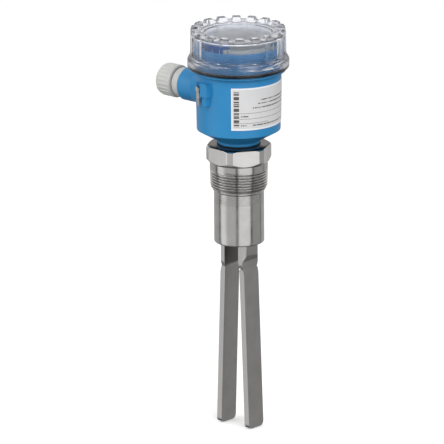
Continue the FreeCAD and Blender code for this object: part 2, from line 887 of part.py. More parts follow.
def gland_nut():
    """Ribbed dome nut with a rounded nose."""
    start = port_reach + gland_seal_thickness + gland_collar_length + gland_nut_gap
    pocket_end = gland_spigot_end() + claw_ring_thickness + 2 * soft_clearance
    end = pocket_end + gland_nut_wall
    outer = gland_nut_diameter / 2
    nose = gland_nut_end_diameter / 2
    bend = gland_nut_nose_bend * (outer - nose)
    body = revolved([(0, start), (outer - gland_edge, start), (outer, start + gland_edge),
                     (outer, end - gland_nut_nose),
                     (outer - bend, end - gland_nut_nose_share * gland_nut_nose),
                     (nose, end), (0, end)])
    inner = gland_spigot_diameter / 2 + soft_clearance
    body = body.cut(disc(2 * inner, start - past, pocket_end - start + past))
    body = body.cut(disc(gland_nut_mouth, start, end))
    pitch = 360 / gland_rib_count
    flutes = []
    low = start + gland_rib_start
    high = end - gland_rib_run_out * gland_nut_nose
    for k in range(gland_rib_count):
        flute = revolved([(outer - gland_rib_depth, low), (outer + past, low), (outer + past, high),
                          (outer - gland_rib_depth, end - gland_nut_nose)],
                         pitch * (1 - gland_rib_share))
        flutes.append(turned(flute, k * pitch))
    return towards_entry(body.cut(Part.makeCompound(flutes)))


# Electronics insert: pot, top plate, foil and screws

def at_ears(diameter, bottom, height):
    """The same upright round at each screw of the insert."""
    return [turned(disc(diameter, bottom, height, ear_radius, 0), a) for a in ear_angles]


def terminal_place(size_radial, size_across, bottom, height, across=0.0):
    """Upright block in the terminals' own direction."""
    return turned(block(size_radial, size_across, bottom, height, terminal_radius, across),
                  terminal_angle)


def insert_pot():
    pot = disc(pot_diameter, pot_bottom, pot_height)
    ears = []
    for angle in ear_angles:
        arm = block(ear_radius, ear_diameter, ear_bottom, ear_thickness, ear_radius / 2, 0)
        ears.append(turned(arm.fuse(disc(ear_diameter, ear_bottom, ear_thickness, ear_radius, 0)),
                           angle))
    pot = pot.fuse(ears)
    inner = pot_diameter - 2 * pot_wall
    pot = pot.cut(disc(inner, pot_bottom + pot_wall, pot_height))
    ledge = ring(inner + past, inner - 2 * pot_ledge_width, board_bottom - pot_ledge_height,
                 pot_ledge_height)
    pot = pot.fuse(ledge)
    for hole in at_ears(insert_screw_diameter + 2 * fit_clearance, ear_bottom - past,
                        ear_thickness + 2 * past):
        pot = pot.cut(hole)
    pot = pot.cut(terminal_place(terminal_depth + 2 * fit_clearance, terminal_width + 2 * fit_clearance,
                                 terminal_bottom() - fit_clearance, terminal_height))
    return pot.removeSplitter()


def screw_notches(bottom, height):
    return at_ears(insert_screw_head + 2 * notch_margin, bottom, height)


def insert_plate():
    """Pale top plate, notched for the screws and pocketed for terminals, switches and lamps."""
    plate = disc(plate_disc_diameter, plate_disc_bottom, plate_disc_thickness)
    cuts = screw_notches(plate_disc_bottom - past, plate_disc_thickness + 2 * past)
    cuts.append(terminal_place(terminal_depth + 2 * fit_clearance, terminal_width + 2 * fit_clearance,
                               insert_top - terminal_sink, terminal_sink + past))
    cuts.append(block(switch_size[0] + 2 * fit_clearance, switch_size[1] + 2 * fit_clearance,
                      insert_top - switch_sink, switch_sink + past, *switch_centre))
    cuts += lamp_places(lamp_diameter + 2 * fit_clearance, insert_top - lamp_sink, lamp_sink + past)
    for cut in cuts:
        plate = plate.cut(cut)
    return plate


def insert_foil():
    """Black front foil on the plate."""
    foil = disc(plate_disc_diameter - 2 * foil_margin, insert_top, foil_thickness)
    low = insert_top - past
    depth = foil_thickness + 2 * past
    wider = 2 * foil_window_margin
    cuts = screw_notches(low, depth)
    cuts.append(terminal_place(terminal_depth + wider, terminal_width + wider, low, depth))
    cuts.append(block(switch_size[0] + wider, switch_size[1] + wider, low, depth, *switch_centre))
    cuts += lamp_places(lamp_diameter + wider, low, depth)
    for cut in cuts:
        foil = foil.cut(cut)
    return foil


def insert_screws():
    screws = []
    for angle in ear_angles:
        shank = disc(insert_screw_diameter, ear_top - insert_screw_length, insert_screw_length,
                     ear_radius, 0)
        head = disc(insert_screw_head, ear_top, insert_screw_head_height, ear_radius, 0)
        slot = block(insert_screw_head + past, driver_slot_width,
                     ear_top + insert_screw_head_height - driver_slot_depth,
                     driver_slot_depth + past, ear_radius, 0)
        screws.append(turned(shank.fuse(head).cut(slot), angle))
    return Part.makeCompound(screws)


def lamp_places(diameter, bottom, height):
    places = []
    for k in range(lamp_count):
        x = lamp_centre[0] + (k - (lamp_count - 1) / 2) * lamp_pitch
        places.append(disc(diameter, bottom, height, x, lamp_centre[1]))
    return places


def lamps():
    """Indicator lamps: short rounds with a sloped top edge."""
    lenses = []
    bottom = insert_top - lamp_sink
    r = lamp_diameter / 2
    for k in range(lamp_count):
        lens = revolved([(0, 0), (r, 0), (r, lamp_sink + lamp_height - lamp_edge),
                         (r - lamp_edge, lamp_sink + lamp_height), (0, lamp_sink + lamp_height)])
        x = lamp_centre[0] + (k - (lamp_count - 1) / 2) * lamp_pitch
        lens.translate(Vector(x, lamp_centre[1], bottom))
        lenses.append(lens)
    return Part.makeCompound(lenses)


# Terminals

def terminal_offsets():
    return [(k - (terminal_count - 1) / 2) * terminal_pitch for k in range(terminal_count)]


def terminal_round(diameter, bottom, height, across):
    return turned(disc(diameter, bottom, height, terminal_radius, across), terminal_angle)


def terminal_bottom():
    return insert_top - terminal_sink


def clamp_bottom():
    return terminal_bottom() + clamp_rise


def terminal_block():
    """Blue block with a clamp chamber, a screw hole and a wire hole for each conductor."""
    bottom = terminal_bottom()
    body = terminal_place(terminal_depth, terminal_width, bottom, terminal_height)
    for across in terminal_offsets():
        chamber = terminal_place(clamp_size + 2 * fit_clearance, clamp_size + 2 * fit_clearance,
                                 clamp_bottom(), clamp_size + fit_clearance, across)
        hole = terminal_round(terminal_screw_head + 2 * soft_clearance,
                              clamp_bottom() + clamp_size, terminal_height, across)
        mouth = Part.makeCylinder(wire_hole_diameter / 2, terminal_depth,
                                  Vector(terminal_radius, across, clamp_bottom() + clamp_size / 2),
                                  Vector(1, 0, 0))
        body = body.cut(chamber).cut(hole).cut(turned(mouth, terminal_angle))
    return body


def terminal_clamps():
    """Wire clamps: small blocks with a wire hole, under each terminal screw."""
    clamps = []
    for across in terminal_offsets():
        cage = terminal_place(clamp_size, clamp_size, clamp_bottom(), clamp_size, across)
        hole = Part.makeCylinder(clamp_hole_diameter / 2, clamp_size + 2 * past,
                                 Vector(terminal_radius - clamp_size / 2 - past, across,
                                        clamp_bottom() + clamp_size / 2), Vector(1, 0, 0))
        clamps.append(cage.cut(turned(hole, terminal_angle)))
    return Part.makeCompound(clamps)


def terminal_screws():
    """Slotted screws standing on the clamps."""
    screws = []
    bottom = clamp_bottom() + clamp_size
    top = terminal_bottom() + terminal_height + terminal_screw_head_height / 2
    for across in terminal_offsets():
        shank = terminal_round(terminal_screw_diameter, bottom, top - bottom, across)
        head = terminal_round(terminal_screw_head, top - terminal_screw_head_height,
                              terminal_screw_head_height, across)
        slot = terminal_place(terminal_screw_head + past, driver_slot_depth,
                              top - terminal_slot_depth, past, across)
        screws.append(shank.fuse(head).cut(slot))
    return Part.makeCompound(screws)


# Setting switches

def switch_top():
    return insert_top - switch_sink + switch_height


def slider_positions():
    return [switch_centre[1] + (k - (slider_count - 1) / 2) * slider_pitch
            for k in range(slider_count)]


def switch_body():
    body = block(switch_size[0], switch_size[1], insert_top - switch_sink, switch_height,
                 *switch_centre)
    for y in slider_positions():
        slot = block(slider_length + slider_travel + 2 * slide_clearance,
                     slider_width + 2 * slide_clearance, switch_top() - slider_slot_depth,
                     slider_slot_depth + past, switch_centre[0], y)
        body = body.cut(slot)
    return body


def slider(k):
    """One slider, at rest at the end of its slot towards the axis."""
    x = switch_centre[0] - slider_travel / 2
    bottom = switch_top() - slider_slot_depth + fit_clearance
    return block(slider_length, slider_width, bottom, slider_height, x, slider_positions()[k])


# Board in the pot

def circuit_board():
    return disc(pot_diameter - 2 * pot_wall - 2 * fit_clearance, board_bottom, board_thickness)


def relay():
    size_x, size_y, height = relay_size
    return block(size_x, size_y, board_bottom - height, height, *relay_centre)


def capacitor():
    r = capacitor_diameter / 2
    body = revolved([(0, 0), (r - capacitor_edge, 0), (r, capacitor_edge), (r, capacitor_height),
                     (0, capacitor_height)])
    body.translate(Vector(capacitor_centre[0], capacitor_centre[1], board_bottom - capacitor_height))
    return body


# Earth terminal

def earth_place(shape):
    return turned(shape, earth_angle)


def earth_washer():
    bottom = floor_top + earth_post_height
    outer = disc(earth_washer_diameter, bottom, earth_washer_thickness, earth_radius, 0)
    hole = disc(earth_screw_diameter + 2 * fit_clearance, bottom - past,
                earth_washer_thickness + 2 * past, earth_radius, 0)
    return earth_place(outer.cut(hole))


def earth_screw():
    seat = floor_top + earth_post_height + earth_washer_thickness
    shank = disc(earth_screw_diameter, seat - earth_screw_length, earth_screw_length,
                 earth_radius, 0)
    head = disc(earth_screw_head, seat, earth_screw_head_height, earth_radius, 0)
    slot = block(earth_screw_head + past, driver_slot_width,
                 seat + earth_screw_head_height - driver_slot_depth, driver_slot_depth + past,
                 earth_radius, 0)
    return earth_place(shank.fuse(head).cut(slot))


def all_pieces():
    """Every piece of the switch, by name."""
    front = tine()
    pieces = {
        "process_adapter": process_adapter(),
        "fork_root": fork_root(),
        "tine_front": front,
        "tine_back": turned(front, 180),
        "lower_insulator": stack_ring(membrane_top, insulator_thickness),
        "upper_insulator": stack_ring(washer_bottom - insulator_thickness, insulator_thickness),
        "pressure_washer": pressure_washer(),
        "clamp_nut": clamp_nut(),
        "clamp_bolt": clamp_bolt(),
        "lead_tube": lead_tube(),
        "potting": potting(),
        "lead_wires": lead_wires(),
        "drive_plug": drive_plug(),
        "neck_seal": neck_seal(),
        "neck_o_ring": neck_o_ring(),
        "retaining_ring": retaining_ring(),
        "housing": housing(),
        "nameplate": nameplate(),
        "tag_pin": tag_pin(),
        "cover_seal": cover_seal(),
        "cover": cover(),
        "gland_seal": gland_seal(),
        "gland_body": gland_body(),
        "gland_grommet": gland_grommet(),
        "gland_claw_ring": gland_claw_ring(),
        "gland_nut": gland_nut(),
        "insert_pot": insert_pot(),
        "insert_plate": insert_plate(),
        "insert_foil": insert_foil(),
        "insert_screws": insert_screws(),
        "terminal_block": terminal_block(),
        "terminal_clamps": terminal_clamps(),
        "terminal_screws": terminal_screws(),
        "switch_body": switch_body(),
        "indicator_lamps": lamps(),
        "circuit_board": circuit_board(),
        "relay": relay(),
        "capacitor": capacitor(),
        "earth_washer": earth_washer(),
        "earth_screw": earth_screw(),
    }
    for k in range(piezo_count):
        pieces[f"piezo_disc_{k + 1}"] = piezo_disc(k)
    for k in range(piezo_count - 1):
        pieces[f"electrode_{k + 1}"] = electrode(k)
    for k in range(slider_count):
        pieces[f"switch_slider_{k + 1}"] = slider(k)
    return pieces


os.makedirs("parts", exist_ok=True)
for name, shape in all_pieces().items():
    shape.exportStep(f"parts/{name}.step")
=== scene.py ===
import math
import bmesh
import bpy
import numpy as np
from mathutils import Matrix, Vector


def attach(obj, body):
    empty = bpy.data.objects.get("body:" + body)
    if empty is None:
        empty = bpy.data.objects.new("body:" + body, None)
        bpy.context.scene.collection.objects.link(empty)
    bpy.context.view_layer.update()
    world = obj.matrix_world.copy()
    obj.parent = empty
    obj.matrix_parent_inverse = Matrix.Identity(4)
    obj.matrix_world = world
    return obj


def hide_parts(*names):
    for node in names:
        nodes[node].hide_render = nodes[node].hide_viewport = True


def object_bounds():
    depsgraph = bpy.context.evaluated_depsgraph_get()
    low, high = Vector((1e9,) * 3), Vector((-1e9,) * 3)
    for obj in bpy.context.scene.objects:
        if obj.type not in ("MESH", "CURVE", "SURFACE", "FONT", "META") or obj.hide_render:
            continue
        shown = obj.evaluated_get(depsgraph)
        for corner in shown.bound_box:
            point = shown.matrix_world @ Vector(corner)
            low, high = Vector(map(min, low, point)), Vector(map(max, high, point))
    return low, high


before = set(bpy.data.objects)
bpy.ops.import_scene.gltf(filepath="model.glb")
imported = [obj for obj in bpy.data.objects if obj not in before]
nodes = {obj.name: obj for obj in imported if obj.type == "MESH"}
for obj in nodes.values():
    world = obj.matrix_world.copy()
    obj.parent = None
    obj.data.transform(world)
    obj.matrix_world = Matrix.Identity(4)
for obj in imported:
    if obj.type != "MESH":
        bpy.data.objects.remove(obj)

cad_box = [list(corner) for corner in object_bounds()]


# Fork tines: two long blades of stainless flat bar, ground along their length. Each is welded
# by its upper end to a stub of the fork's root.
MM = 0.001


def feed(tree, socket, value):
    """Links a socket to another node's output, or sets its own value."""
    if isinstance(value, bpy.types.NodeSocket):
        tree.links.new(value, socket)
    else:
        socket.default_value = value


def adder(tree):
    """Gives what adds a node to this tree, with its inputs and settings."""
    def add(kind, inputs=None, output=0, **settings):
        node = tree.nodes.new("ShaderNode" + kind)
        for key, value in settings.items():
            setattr(node, key, value)
        for socket, value in (inputs or {}).items():
            feed(tree, node.inputs[socket], value)
        return node.outputs[output]

    return add


def start_material(name):
    """New material, what adds nodes to it, and what sets or links its shader's sockets."""
    material = bpy.data.materials.new(name)
    material.use_nodes = True
    shader = material.node_tree.nodes["Principled BSDF"]

    def put(**sockets):
        for socket, value in sockets.items():
            feed(material.node_tree, shader.inputs[socket.replace("_", " ")], value)

    return material, adder(material.node_tree), put


def maths(add, kind, a, b=0.0):
    """One step of arithmetic on values or on other nodes' outputs."""
    return add("Math", {0: a, 1: b}, operation=kind)


def object_place(add):
    """The mesh's own coordinates, in metres."""
    return add("TexCoord", output=3)


def noise(add, vector, scale, detail=3.0, stretch=(1, 1, 1)):
    """Noise of so many cells per metre, squeezed along the axes by stretch."""
    squeezed = add("VectorMath", {0: vector, 1: stretch}, operation="MULTIPLY")
    return add("TexNoise", {"Vector": squeezed, "Scale": scale, "Detail": detail})


def span(add, value, low, high, out_low, out_high):
    """Value spread from one range over another, and held at its ends."""
    return add("MapRange", {"Value": value, "From Min": low, "From Max": high,
                            "To Min": out_low, "To Max": out_high}, clamp=True)


def mixed(add, factor, first, second):
    """Colour between two, as plain tuples or sockets."""
    def colour(value):
        return value if isinstance(value, bpy.types.NodeSocket) else (*value, 1)
    return add("MixRGB", {"Fac": factor, "Color1": colour(first), "Color2": colour(second)})


def cloudy(add, cloud, first, second):
    """Colour that drifts between two with a noise."""
    return mixed(add, span(add, cloud, 0.3, 0.7, 0.0, 1.0), first, second)


def bump(add, height, strength, distance, edge=0.0):
    """Bump over normals that run round the edges by edge millimetres."""
    inputs = {"Strength": strength, "Distance": distance, "Height": height}
    if edge:
        inputs["Normal"] = add("Bevel", {"Radius": edge * MM}, samples=4)
    return add("Bump", inputs)


def metal(name, colour, rough, scale, stretch=(1.0, 1.0, 1.0), strength=0.25, edge=0.0):
    """Bare metal whose tool marks are noise squeezed across the way the tool went."""
    material, add, put = start_material(name)
    place = object_place(add)
    marks = noise(add, place, scale, 4.0, stretch)
    cloud = noise(add, place, 70.0)
    dull = 0.86
    mark_depth = 0.00006
    put(Base_Color=cloudy(add, cloud, tuple(dull * c for c in colour), colour),
        Metallic=1.0,
        Roughness=maths(add, "ADD", span(add, cloud, 0.3, 0.7, rough - 0.04, rough + 0.05),
                        span(add, marks, 0.3, 0.7, -0.03, 0.03)),
        Normal=bump(add, marks, strength, mark_depth, edge))
    return material


def dress(material, *names):
    """Gives CAD pieces this material."""
    for name in names:
        mesh = nodes[name].data
        mesh.materials.clear()
        mesh.materials.append(material)


def soften(width, *names):
    """Joins the corners of CAD meshes, then rounds their edges by this width in millimetres."""
    for name in names:
        piece = nodes[name]
        weld = piece.modifiers.new("weld", "WELD")
        weld.merge_threshold = 1e-6
        bevel = piece.modifiers.new("bevel", "BEVEL")
        bevel.width = width * MM
        bevel.segments = 2
        bevel.limit_method = "ANGLE"
        bevel.angle_limit = math.radians(35.0)
        bevel.harden_normals = False
        normals = piece.modifiers.new("normals", "WEIGHTED_NORMAL")
        normals.keep_sharp = False


ground = {"colour": (0.55, 0.54, 0.53), "rough": 0.32, "scale": 2200.0, "stretch": (1.0, 1.0, 0.03),
          "strength": 0.2}
dress(metal("steel_fork", **ground), "tine_front", "tine_back")
soften(0.4, "tine_front", "tine_back")


# Fork root: a stainless membrane with two stubs, milled from one piece and welded into the
# sleeve. The faces in the gap between the stubs carry painted shade, where the stubs shade
# each other.
shaded_gap_width = 15.2


def darkened(material, along, low, high, dark):
    """Gives a metal a dark colour where a distance is from low to high, in millimetres.

    The distance runs along X, Y or Z, or for along="radius" from the main axis.
    """
    tree = material.node_tree
    add = adder(tree)
    place = object_place(add)
    if along == "radius":
        level = add("VectorMath", {0: place, 1: (1, 1, 0)}, operation="MULTIPLY")
        distance = add("VectorMath", {0: level}, output=1, operation="LENGTH")
    else:
        axis = tuple(float(along == letter) for letter in "XYZ")
        distance = add("VectorMath", {0: place, 1: axis}, output=1, operation="DOT_PRODUCT")
    within = add("Math", {0: distance, 1: (low + high) / 2 * MM, 2: (high - low) / 2 * MM},
                 operation="COMPARE")
    base = tree.nodes["Principled BSDF"].inputs["Base Color"]
    tree.links.new(mixed(add, within, base.links[0].from_socket, dark), base)
    return material


# Painted shade: the steel is coloured dark between the stubs, where they shade each other.
root_steel = darkened(metal("steel_root", **ground), "X", -shaded_gap_width / 2, shaded_gap_width / 2,
                      (0.17, 0.165, 0.16))
dress(root_steel, "fork_root")
soften(0.3, "fork_root")


# Process adapter, upper half: a hexagon of 50 mm across flats, chamfered to a turned top, and
# the spigot that carries the housing. The top and the spigot carry painted shade, dark for the
# housing's shadow and dark reflection over them. The whole adapter is turned from one
# stainless bar of 55 mm, and bored through for the leads.
adapter_bore = 9.0
hexagon_top = 15.5
hexagon_turn = -65.0
lower_chamfer_top = 3.3
upper_chamfer_foot = 13.6
chamfer_radius = 24.2
bar_radius = 27.5
flat_reach = 25.0
spigot_radius = 13.0
spigot_top = 33.0
painted_shade_heights = (14.4, 40.0)


def rounded(corners, steps=4):
    """Closed outline: each corner (a, b, radius) becomes an arc touching both of its edges."""
    outline = []
    count = len(corners)
    for k, (a, b, radius) in enumerate(corners):
        corner = np.array([a, b], float)
        back = np.array(corners[k - 1][:2], float) - corner
        ahead = np.array(corners[(k + 1) % count][:2], float) - corner
        reach_back, reach_ahead = np.linalg.norm(back), np.linalg.norm(ahead)
        back, ahead = back / reach_back, ahead / reach_ahead
        half = math.acos(max(-1.0, min(1.0, float(back @ ahead)))) / 2
        if radius <= 0 or half > 1.55:
            outline.append(corner)
            continue
        run = min(radius / math.tan(half), 0.45 * reach_back, 0.45 * reach_ahead)
        middle = (back + ahead) / np.linalg.norm(back + ahead)
        centre = corner + middle * run / math.cos(half)
        start, end = corner + back * run - centre, corner + ahead * run - centre
        first = math.atan2(start[1], start[0])
        sweep = (math.atan2(end[1], end[0]) - first + math.pi) % (2 * math.pi) - math.pi
        angles = first + sweep * np.arange(steps + 1) / steps
        outline.extend(centre + np.linalg.norm(start) * np.stack([np.cos(angles), np.sin(angles)], -1))
    return np.array(outline)


def along_rows(outline, spacing, fine=None):
    """Outline with points added so that none of its edges is longer than spacing.

    Edges whose middle lies within fine (low and high radius, low and high height, spacing)
    are split by that spacing instead.
    """
    full = []
    for first, second in zip(outline, np.roll(outline, -1, 0)):
        a, b = (first + second) / 2
        within = fine and fine[0] < a < fine[1] and fine[2] < b < fine[3]
        parts = max(1, int(math.ceil(np.linalg.norm(second - first) / (fine[4] if within else spacing))))
        full.extend(first + (second - first) * np.arange(parts)[:, None] / parts)
    return np.array(full)


def around(columns):
    """Angles in even steps round a whole circle."""
    return np.linspace(0, 2 * np.pi, columns, endpoint=False)


def on_axis(radius, height, angles):
    """Points about the main axis: x and y are the radius by the angle's cosine and sine."""
    radius, height, angles = np.broadcast_arrays(radius, height, angles)
    return np.stack([radius * np.cos(angles), radius * np.sin(angles), height], -1)


def closed_piece(name, grid, body, material, sharp=35.0):
    """Mesh over a grid of points in millimetres that closes on itself both ways."""
    rows, columns = grid.shape[:2]
    points = (grid.reshape(-1, 3) * MM).tolist()
    index = np.arange(rows * columns).reshape(rows, columns)
    down, along = np.roll(index, -1, 0), np.roll(index, -1, 1)
    across = np.roll(down, -1, 1)
    faces = np.stack([index, along, across, down], -1).reshape(-1, 4).tolist()
    mesh = bpy.data.meshes.new(name)
    mesh.from_pydata(points, [], faces)
    work = bmesh.new()
    work.from_mesh(mesh)
    bmesh.ops.remove_doubles(work, verts=work.verts, dist=1e-7)
    bmesh.ops.recalc_face_normals(work, faces=work.faces)
    if work.calc_volume(signed=True) < 0:
        bmesh.ops.reverse_faces(work, faces=work.faces)
    work.to_mesh(mesh)
    work.free()
    mesh.shade_smooth()
    mesh.set_sharp_from_angle(angle=math.radians(sharp))
    mesh.materials.append(material)
    piece = bpy.data.objects.new(name, mesh)
    bpy.context.scene.collection.objects.link(piece)
    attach(piece, body)
    return piece


def hexagon_grid():
    """Radius is the least of the flats' and the turned outline's, blended over 0.3 mm."""
    angles = around(432)
    corner = math.radians(hexagon_turn)
    outline = rounded([(adapter_bore, 0.0, 0), (chamfer_radius, 0.0, 0),
                       (bar_radius, lower_chamfer_top, 0.4), (bar_radius, upper_chamfer_foot, 0.4),
                       (chamfer_radius, hexagon_top, 0.5), (spigot_radius, hexagon_top, 0),
                       (spigot_radius, spigot_top, 0.3), (adapter_bore, spigot_top, 0.3)])
    outline = along_rows(outline, 0.5)
    radius, height = outline[:, :1], outline[:, 1:]
    flat = flat_reach / np.cos((angles - corner) % (math.pi / 3) - math.pi / 6)[None, :]
    blend = 0.3
    share = np.clip(0.5 + 0.5 * (flat - radius) / blend, 0, 1)
    least = flat + (radius - flat) * share - blend * share * (1 - share)
    return on_axis(np.where(radius > spigot_radius + 1.0, least, radius), height, angles[None, :])


hexagon_steel = metal("steel_hexagon", (0.78, 0.77, 0.76), 0.15, 2600.0, (1.0, 1.0, 0.02), 0.2)
# Painted shade: the hexagon's top and the spigot are coloured dark, for the housing's shadow and dark
# reflection above them.
darkened(hexagon_steel, "Z", *painted_shade_heights, (0.11, 0.098, 0.092))
hexagon_piece = closed_piece("adapter_hexagon", hexagon_grid(), "fork_unit", hexagon_steel)
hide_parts("process_adapter")


# Process adapter, lower half: collar, pipe thread that runs out on a cone, five turned rings
# and the long sleeve, bored wide for the drive. It is of one piece with the hexagon.
thread_pitch = 2.309
thread_radius = 24.2
thread_start = -5.9
thread_end = -20.6
thread_end_radius = 23.75
thread_depth = 1.25
thread_shadow = (22.2, 23.25)
run_out_end = -25.5
ring_count = 5
ring_pitch = 1.6
ring_depth = 0.5
ring_width = 0.7
sleeve_radius = 20.9
sleeve_end = -69.2
root_seat_radius = 18.0
root_seat_top = -65.2
drive_room_radius = 15.5
drive_room_top = -26.0
turned = {"colour": (0.68, 0.67, 0.66), "rough": 0.19, "scale": 2600.0, "stretch": (0.02, 0.02, 1.0),
          "strength": 0.08}


def shank_grid():
    """Radius at a height is the outline's, less the thread's groove at that height and angle.

    The groove is a trapezoid of the turn, which is the height over the pitch less the angle's
    share of a circle. Its depth grows over the first 1.2 mm and shrinks along the cone.
    """
    angles = around(312)
    foot = sleeve_radius - 0.1
    outer = [(adapter_bore, 0.0, 0), (thread_radius, 0.0, 0), (thread_radius, thread_start, 0.2),
             (thread_end_radius, thread_end, 0.3), (sleeve_radius, run_out_end, 0.3)]
    for k in range(ring_count):
        z = run_out_end - (k + 0.5) * ring_pitch
        floor_radius = sleeve_radius - ring_depth
        outer += [(sleeve_radius, z, 0.1), (floor_radius, z - 0.1, 0.1),
                  (floor_radius, z - ring_width + 0.1, 0.1), (sleeve_radius, z - ring_width, 0.1)]
    outer += [(sleeve_radius, sleeve_end, 2.2), (root_seat_radius, sleeve_end, 0.2),
              (root_seat_radius, root_seat_top, 0), (drive_room_radius, root_seat_top, 0),
              (drive_room_radius, drive_room_top, 0), (adapter_bore, drive_room_top, 0)]
    fine = (foot, thread_radius + 0.1, run_out_end - 0.1, thread_start + 0.3, 0.13)
    outline = along_rows(rounded(outer), 4.0, fine)
    radius, height = outline[:, :1], outline[:, 1:]
    turn = ((thread_start - height) / thread_pitch - angles[None, :] / (2 * math.pi)) % 1.0
    groove = np.clip(1.5 - 3.6 * np.abs(turn - 0.5), 0, 1) ** 1.2
    starts = np.clip((thread_start - height) / 1.2, 0, 1)
    deep = np.minimum(thread_depth, np.maximum(radius - foot, 0) * 0.6)
    on_thread = (radius > foot) & (height < thread_start + 0.1) & (height > run_out_end - 0.1)
    return on_axis(np.where(on_thread, radius - deep * groove * starts, radius), height, angles[None, :])


dress(metal("steel_turned", **turned), "process_adapter")
shank_steel = darkened(metal("steel_shank", **turned), "radius", *thread_shadow, (0.40, 0.395, 0.39))
shank_piece = closed_piece("adapter_shank", shank_grid(), "fork_unit", shank_steel)


# Drive inside the sleeve: four discs of piezo ceramic with brass electrodes between ceramic
# insulators, clamped on the root by a steel bolt, washer and nut, and cast in dark resin.
def moulding(name, colour, rough, grain=1500.0, strength=0.12, sheen=0.5, edge=0.2):
    """Moulded plastic, rubber or ceramic: a fine grain, and a slightly cloudy colour."""
    material, add, put = start_material(name)
    place = object_place(add)
    fine = noise(add, place, grain, 2.0)
    cloud = noise(add, place, 45.0)
    dull = 0.93
    grain_depth = 0.00004
    put(Base_Color=cloudy(add, cloud, tuple(dull * c for c in colour), colour),
        Roughness=span(add, fine, 0.3, 0.7, rough - 0.03, rough + 0.04),
        Specular_IOR_Level=sheen,
        Normal=bump(add, fine, strength, grain_depth, edge))
    return material


plain_steel = metal("steel_plain", (0.6, 0.585, 0.56), 0.22, 1500.0, edge=0.3)
dress(moulding("ceramic_white", (0.78, 0.76, 0.7), 0.3), "lower_insulator", "upper_insulator")
dress(moulding("piezo_ceramic", (0.42, 0.33, 0.22), 0.5),
      "piezo_disc_1", "piezo_disc_2", "piezo_disc_3", "piezo_disc_4")
dress(metal("contact_brass", (0.75, 0.53, 0.22), 0.25, 1800.0), "electrode_1", "electrode_2", "electrode_3")
dress(plain_steel, "pressure_washer", "clamp_nut", "clamp_bolt")
dress(moulding("resin", (0.05, 0.045, 0.05), 0.25), "potting")


# Leads: two wires in white insulation, led up through a steel tube to a black plastic plug
# that is pushed onto the tube's upper end.
white_plastic = moulding("white_plastic", (0.75, 0.75, 0.73), 0.35)
black_plastic = moulding("black_plastic", (0.016, 0.017, 0.019), 0.35)
dress(plain_steel, "lead_tube")
dress(white_plastic, "lead_wires")
dress(black_plastic, "drive_plug")


# Neck: a flat black rubber seal on the hexagon and a rubber o-ring on the spigot keep water
# out. An open ring of spring steel round the spigot holds the housing but lets it turn.
black_rubber = moulding("black_rubber", (0.018, 0.018, 0.019), 0.55, 900.0, 0.25)
dress(black_rubber, "neck_seal", "neck_o_ring")
dress(plain_steel, "retaining_ring")


# Housing: bowl, neck, cable port, tag lug and threaded rim in one blue plastic moulding. A
# steel tag pin with a domed head is held in the seat beside the lug.
dress(moulding("blue_plastic", (0.026, 0.252, 0.540), 0.32, sheen=0.42, edge=0.8), "housing")
dress(plain_steel, "tag_pin")


# Nameplate: self-adhesive silver film with a white margin, wrapped round the bowl. Its print
# is generic: a column of bars at the left, three thin rules and a few rows of dashes.
field_turns = (-57.3, 48.3)
field_heights = (37.0, 70.7)
bar_turns = (-55.6, -48.4)
bar_heights = (38.6, 69.2)
bar_beats = ((3.3, 0.42), (2.0, 0.40))
rules = ((50.2, -48.0, 44.0), (45.4, -48.0, 44.0), (41.6, -48.0, -6.0))
rule_width = 0.3
dash_rows = ((60.6, -18.0, 40.0, 11.0), (57.6, -22.0, 34.0, 23.0), (54.2, -30.0, 42.0, 37.0),
             (47.2, -46.0, -36.0, 41.0), (39.4, -30.0, 30.0, 53.0), (39.4, -46.0, -38.0, 59.0))
dash_height = 1.0
dash_step = 0.9
dash_share = 0.68


def nameplate_material():
    """Print over the turn about the axis in degrees and the height in millimetres.

    Each mark is 1 where turn and height are both between its limits. Bars follow the fraction
    of the height over a beat, and dashes a random number for each step of the turn.
    """
    material, add, put = start_material("nameplate")
    place = object_place(add)
    parts = add("SeparateXYZ", {0: place}).node
    z = maths(add, "MULTIPLY", parts.outputs[2], 1 / MM)
    radians = maths(add, "ARCTAN2", parts.outputs[1], parts.outputs[0])
    turn = maths(add, "MULTIPLY", radians, 180.0 / math.pi)

    def both(first, second):
        return maths(add, "MULTIPLY", first, second)

    def either(first, second):
        return maths(add, "MAXIMUM", first, second)

    def between(value, low, high):
        return both(maths(add, "GREATER_THAN", value, low), maths(add, "LESS_THAN", value, high))

    def beat(step, share):
        return maths(add, "LESS_THAN", maths(add, "FRACT", maths(add, "DIVIDE", z, step)), share)

    def chance(step, share, seed):
        cell = maths(add, "ADD", maths(add, "FLOOR", maths(add, "DIVIDE", turn, step)), seed)
        random = add("TexWhiteNoise", {"W": cell}, noise_dimensions="1D")
        return maths(add, "LESS_THAN", random, share)

    column = both(between(turn, *bar_turns), between(z, *bar_heights))
    ink = both(column, either(beat(*bar_beats[0]), beat(*bar_beats[1])))
    for height, first, last in rules:
        ink = either(ink, both(between(turn, first, last), between(z, height, height + rule_width)))
    for height, first, last, seed in dash_rows:
        row = both(between(turn, first, last), between(z, height, height + dash_height))
        ink = either(ink, both(row, chance(dash_step, dash_share, seed)))
    brushed = noise(add, place, 1600.0, 3.0, (1.0, 1.0, 0.05))
    silver = cloudy(add, brushed, (0.66, 0.66, 0.67), (0.71, 0.71, 0.715))
    field = both(between(turn, *field_turns), between(z, *field_heights))
    put(Base_Color=mixed(add, ink, mixed(add, field, (0.86, 0.87, 0.89), silver), (0.10, 0.085, 0.08)),
        Roughness=span(add, brushed, 0.3, 0.7, 0.32, 0.42))
    return material


dress(nameplate_material(), "nameplate")


